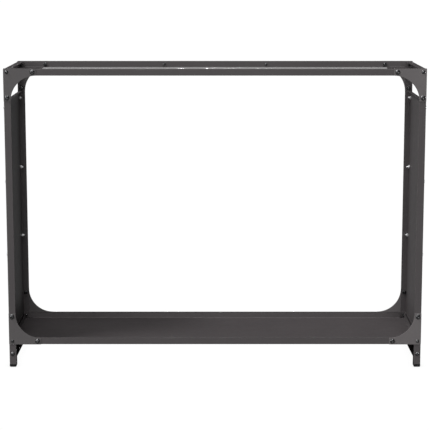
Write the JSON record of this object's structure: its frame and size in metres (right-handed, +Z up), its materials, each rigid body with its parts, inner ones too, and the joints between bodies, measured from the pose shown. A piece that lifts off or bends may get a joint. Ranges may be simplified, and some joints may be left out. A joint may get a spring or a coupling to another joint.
{
  "type": "firewood log rack",
  "caption": "Open firewood log rack: bolted frame of folded steel angle with curved corner gussets, plain side panels, a drop-in shelf tray and moulded plastic feet.",
  "frame": {"origin": "on the floor, at the centre of the rack's footprint", "axes": "+X along the rack's width, to the right seen from the open front; the front faces -Y and the back +Y; +Z up"},
  "size_m": [1.1052, 0.2898, 0.8],
  "materials": {
    "frame_steel": "satin anthracite powder coat",
    "panel_steel": "satin anthracite powder coat",
    "gusset_steel": "satin anthracite powder coat",
    "foot_plastic": "moulded black plastic",
    "black_fasteners": "black zinc plated",
    "zinc_fasteners": "bright zinc plated"
  },
  "bodies": {
    "root": {"front_left_leg": "frame_steel", "front_right_leg": "frame_steel", "rear_left_leg": "frame_steel", "rear_right_leg": "frame_steel", "front_top_rail": "frame_steel", "rear_top_rail": "frame_steel", "front_bottom_rail": "frame_steel", "rear_bottom_rail": "frame_steel", "left_top_rail": "frame_steel", "right_top_rail": "frame_steel", "left_bottom_rail": "frame_steel", "right_bottom_rail": "frame_steel", "left_side_panel": "panel_steel", "right_side_panel": "panel_steel", "shelf_panel": "panel_steel", "front_top_left_gusset": "gusset_steel", "front_top_right_gusset": "gusset_steel", "front_bottom_left_gusset": "gusset_steel", "front_bottom_right_gusset": "gusset_steel", "rear_top_left_gusset": "gusset_steel", "rear_top_right_gusset": "gusset_steel", "rear_bottom_left_gusset": "gusset_steel", "rear_bottom_right_gusset": "gusset_steel", "front_left_foot": "foot_plastic", "front_right_foot": "foot_plastic", "rear_left_foot": "foot_plastic", "rear_right_foot": "foot_plastic", "gusset_bolts": "black_fasteners", "gusset_nuts": "black_fasteners", "corner_bolts": "black_fasteners", "corner_nuts": "black_fasteners", "panel_bolts": "zinc_fasteners", "panel_nuts": "zinc_fasteners", "foot_screws": "black_fasteners", "rail_bolts": "black_fasteners", "rail_nuts": "black_fasteners"}
  },
  "joints": []
}
